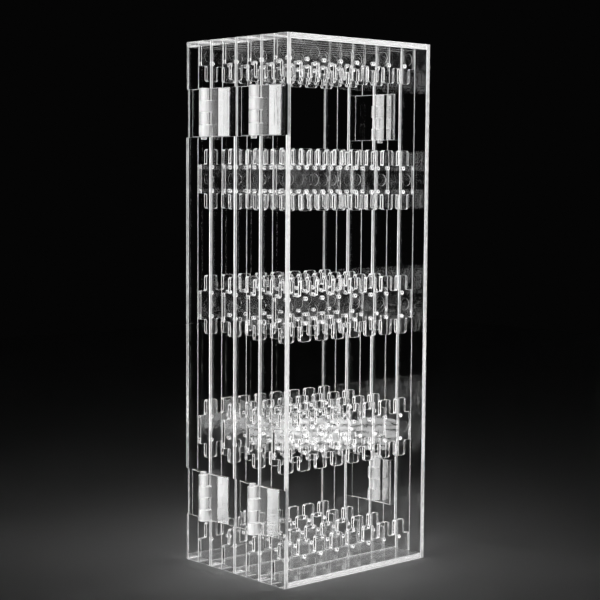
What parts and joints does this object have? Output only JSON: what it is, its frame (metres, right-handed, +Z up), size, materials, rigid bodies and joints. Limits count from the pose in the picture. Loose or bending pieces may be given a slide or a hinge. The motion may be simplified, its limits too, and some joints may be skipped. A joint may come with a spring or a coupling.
{
  "type": "folding earring screen",
  "caption": "Clear folding earring screen: narrow hinged frames that fold flat together, each with toothed, pierced hanger rails.",
  "frame": {"origin": "middle of the folded stack's footprint, on the surface it stands on", "axes": "+Z up, +X across the frames to the right seen from the front, +Y from the front frame to the rear frame"},
  "size_m": [0.1566, 0.1104, 0.38],
  "materials": {
    "frame_panel": "clear polished acrylic",
    "hanger_rail": "clear polished acrylic",
    "hinge_leaf": "clear moulded plastic",
    "hinge_pin": "clear moulded plastic"
  },
  "bodies": {
    "frame_1": {"frame_1_base": "frame_panel", "frame_1_left_side": "frame_panel", "frame_1_rail_1": "hanger_rail", "frame_1_rail_2": "hanger_rail", "frame_1_rail_3": "hanger_rail", "frame_1_rail_4": "hanger_rail", "frame_1_rail_5": "hanger_rail", "frame_1_right_side": "frame_panel", "frame_1_top": "frame_panel", "hinge_1_lower_front_leaf": "hinge_leaf", "hinge_1_upper_front_leaf": "hinge_leaf", "hinge_1_upper_pin": "hinge_pin"},
    "frame_2": {"frame_2_base": "frame_panel", "frame_2_left_side": "frame_panel", "frame_2_rail_1": "hanger_rail", "frame_2_rail_2": "hanger_rail", "frame_2_rail_3": "hanger_rail", "frame_2_rail_4": "hanger_rail", "frame_2_rail_5": "hanger_rail", "frame_2_right_side": "frame_panel", "frame_2_top": "frame_panel", "hinge_1_lower_pin": "hinge_pin", "hinge_1_lower_rear_leaf": "hinge_leaf", "hinge_1_upper_rear_leaf": "hinge_leaf", "hinge_2_lower_front_leaf": "hinge_leaf", "hinge_2_lower_pin": "hinge_pin", "hinge_2_upper_front_leaf": "hinge_leaf"},
    "frame_3": {"frame_3_base": "frame_panel", "frame_3_left_side": "frame_panel", "frame_3_rail_1": "hanger_rail", "frame_3_rail_2": "hanger_rail", "frame_3_rail_3": "hanger_rail", "frame_3_rail_4": "hanger_rail", "frame_3_rail_5": "hanger_rail", "frame_3_right_side": "frame_panel", "frame_3_top": "frame_panel", "hinge_2_lower_rear_leaf": "hinge_leaf", "hinge_2_upper_pin": "hinge_pin", "hinge_2_upper_rear_leaf": "hinge_leaf", "hinge_3_lower_front_leaf": "hinge_leaf", "hinge_3_upper_front_leaf": "hinge_leaf", "hinge_3_upper_pin": "hinge_pin"},
    "frame_4": {"frame_4_base": "frame_panel", "frame_4_left_side": "frame_panel", "frame_4_rail_1": "hanger_rail", "frame_4_rail_2": "hanger_rail", "frame_4_rail_3": "hanger_rail", "frame_4_rail_4": "hanger_rail", "frame_4_rail_5": "hanger_rail", "frame_4_right_side": "frame_panel", "frame_4_top": "frame_panel", "hinge_3_lower_pin": "hinge_pin", "hinge_3_lower_rear_leaf": "hinge_leaf", "hinge_3_upper_rear_leaf": "hinge_leaf"}
  },
  "joints": [
    {"name": "fold_1", "type": "hinge", "parent": "frame_1", "child": "frame_2", "pos_m": [-0.0748, -0.0277, 0.19], "axis": [0, 0, 1], "range_deg": [0, 180]},
    {"name": "fold_2", "type": "hinge", "parent": "frame_2", "child": "frame_3", "pos_m": [0.0748, 0, 0.19], "axis": [0, 0, -1], "range_deg": [0, 180]},
    {"name": "fold_3", "type": "hinge", "parent": "frame_3", "child": "frame_4", "pos_m": [-0.0748, 0.0277, 0.19], "axis": [0, 0, 1], "range_deg": [0, 180]}
  ]
}
